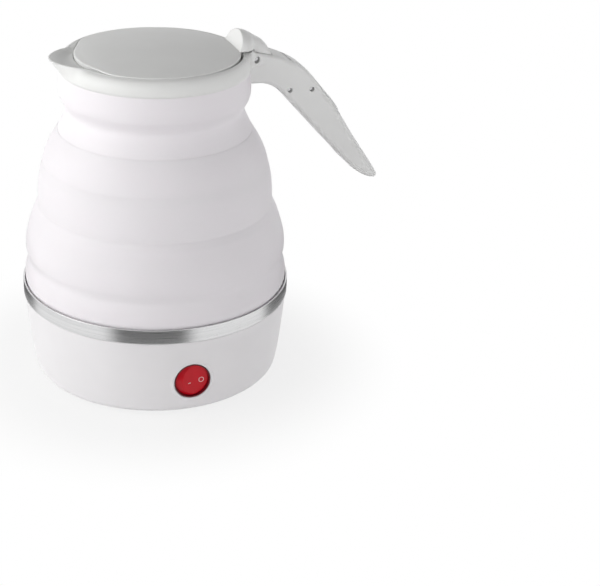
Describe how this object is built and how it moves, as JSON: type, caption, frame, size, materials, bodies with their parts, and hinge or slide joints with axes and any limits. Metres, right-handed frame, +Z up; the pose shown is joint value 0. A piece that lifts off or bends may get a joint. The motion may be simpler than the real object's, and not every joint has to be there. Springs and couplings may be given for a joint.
{
  "type": "collapsible kettle",
  "caption": "Folding electric travel kettle: a silicone body that telescopes down onto a heated base, with a hinged lid, pouring lip and side handle.",
  "frame": {"origin": "on the kettle's vertical axis, at the underside of its base cover; the rubber feet reach 1.2 mm below it", "axes": "+Z up, +X towards the handle, -X towards the pouring lip, -Y towards the switch, +Y towards the power inlet"},
  "size_m": [0.1758, 0.127, 0.1659],
  "materials": {
    "white_shell": "smooth gloss",
    "pale_plastic": "fine satin",
    "white_silicone": "satin",
    "seal_silicone": "satin",
    "brushed_steel": "brushed round the ring",
    "plain_steel": "smooth",
    "aluminium": "cast",
    "brass": "plain",
    "red_plastic": "gloss, see-through red",
    "dark_red_plastic": "gloss",
    "black_plastic": "satin",
    "black_rubber": "matt",
    "brown_wire": "satin",
    "blue_wire": "satin",
    "green_wire": "satin"
  },
  "bodies": {
    "base": {"base_shell": "white_shell", "base_cover": "white_shell", "base_screw_1": "plain_steel", "base_screw_2": "plain_steel", "base_screw_3": "plain_steel", "foot_1": "black_rubber", "foot_2": "black_rubber", "foot_3": "black_rubber", "foot_4": "black_rubber", "steel_band": "brushed_steel", "silicone_base_wall": "white_silicone", "heating_pan": "plain_steel", "pan_seal": "seal_silicone", "pan_clamp_ring": "aluminium", "clamp_screw_1": "plain_steel", "clamp_screw_2": "plain_steel", "clamp_screw_3": "plain_steel", "heat_spreader": "aluminium", "heating_element": "plain_steel", "thermostat": "black_plastic", "dry_boil_cutout": "black_plastic", "thermal_fuse": "white_shell", "switch_housing": "dark_red_plastic", "switch_terminal_1": "brass", "switch_terminal_2": "brass", "inlet_socket": "black_plastic", "inlet_pin_live": "brass", "inlet_pin_earth": "brass", "inlet_pin_neutral": "brass", "live_wire": "brown_wire", "switched_wire": "brown_wire", "neutral_wire": "blue_wire", "earth_wire": "green_wire"},
    "low_ring": {"silicone_ring_low": "white_silicone"},
    "middle_ring": {"silicone_ring_middle": "white_silicone"},
    "high_ring": {"silicone_ring_high": "white_silicone"},
    "top": {"collar_and_handle": "pale_plastic", "silicone_neck": "white_silicone", "neck_clamp_ring": "pale_plastic", "handle_cover": "pale_plastic", "handle_screw_1": "plain_steel", "handle_screw_2": "plain_steel", "lid_hinge_pin": "plain_steel", "lever_pin": "plain_steel", "lever_stop_pin": "plain_steel", "lever_spring": "plain_steel"},
    "lid": {"lid": "pale_plastic", "lid_inner_plate": "pale_plastic", "lid_seal": "seal_silicone", "lid_screw_1": "plain_steel", "lid_screw_2": "plain_steel"},
    "lever": {"release_lever": "pale_plastic"},
    "rocker": {"switch_rocker": "red_plastic"}
  },
  "joints": [
    {"name": "collapse", "type": "slide", "parent": "base", "child": "top", "axis": [0, 0, -1], "range_m": [0, 0.066]},
    {"name": "low_ring_slide", "type": "slide", "parent": "base", "child": "low_ring", "axis": [0, 0, -1], "range_m": [0, 0.015]},
    {"name": "middle_ring_slide", "type": "slide", "parent": "base", "child": "middle_ring", "axis": [0, 0, -1], "range_m": [0, 0.0345]},
    {"name": "high_ring_slide", "type": "slide", "parent": "base", "child": "high_ring", "axis": [0, 0, -1], "range_m": [0, 0.0503]},
    {"name": "lid_hinge", "type": "hinge", "parent": "top", "child": "lid", "pos_m": [0.0455, 0, 0.1515], "axis": [0, 1, 0], "range_deg": [0, 65]},
    {"name": "lever_hinge", "type": "hinge", "parent": "top", "child": "lever", "pos_m": [0.063, 0, 0.135], "axis": [0, 1, 0], "range_deg": [0, 5], "stiffness_Nm_per_rad": 1.2, "deforming": ["lever_spring"]},
    {"name": "switch_tip", "type": "hinge", "parent": "base", "child": "rocker", "pos_m": [0, -0.057, 0.0172], "axis": [0, 0, -1], "range_deg": [0, 24]}
  ],
  "couplings": [
    {"joint": "low_ring_slide", "follows": "collapse", "ratio": 0.22727},
    {"joint": "middle_ring_slide", "follows": "collapse", "ratio": 0.52273},
    {"joint": "high_ring_slide", "follows": "collapse", "ratio": 0.76212}
  ]
}
